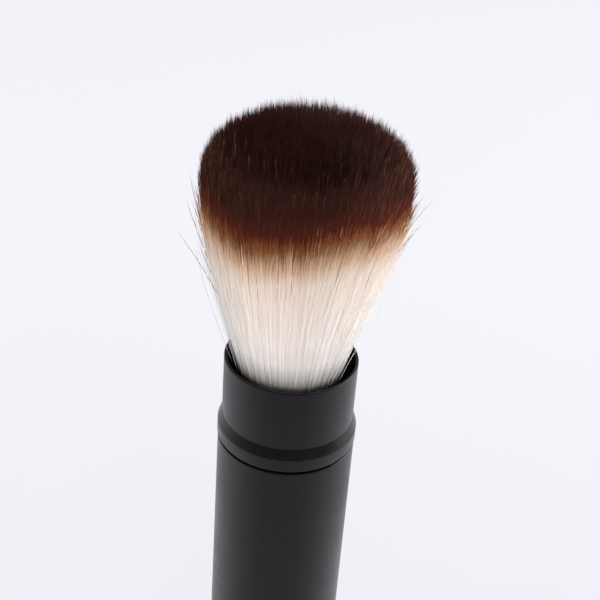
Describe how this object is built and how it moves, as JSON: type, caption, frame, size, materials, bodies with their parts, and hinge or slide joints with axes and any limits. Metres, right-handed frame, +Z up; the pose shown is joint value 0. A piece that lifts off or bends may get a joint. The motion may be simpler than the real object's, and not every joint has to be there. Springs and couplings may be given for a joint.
{
  "type": "retractable powder brush",
  "caption": "Slim round powder brush with a flared, domed two-tone head and a sleeve that slides up from the barrel to cover the hair.",
  "frame": {"origin": "centre of the barrel's flat base", "axes": "+Z up the brush, from the base to the hair's tips; the brush is round about Z, with its two guide keys along X"},
  "size_m": [0.0317, 0.0316, 0.1288],
  "materials": {
    "black_anodised": "satin black anodised",
    "black_plastic": "moulded, matte black",
    "bushing_plastic": "natural acetal",
    "screw_steel": "zinc plated",
    "ferrule_aluminium": "plain drawn aluminium",
    "knot_resin": "clear amber epoxy",
    "hair": "soft synthetic hair, cream with dark brown tips",
    "ring_rubber": "smooth silicone rubber"
  },
  "bodies": {
    "handle": {"barrel_shell": "black_anodised", "base_plug": "black_plastic", "barrel_liner": "black_plastic", "guide_bushing": "bushing_plastic", "core_post": "black_plastic", "post_screw": "screw_steel", "ferrule": "ferrule_aluminium", "knot_plug": "knot_resin", "bristles": "hair"},
    "guard": {"guard_sleeve": "black_anodised", "shoulder_ring": "black_anodised", "guide_tube": "black_plastic", "friction_rings": "ring_rubber"}
  },
  "joints": [
    {"name": "guard_slide", "type": "slide", "parent": "handle", "child": "guard", "axis": [0, 0, 1], "range_m": [0, 0.043], "deforming": ["bristles"]}
  ]
}
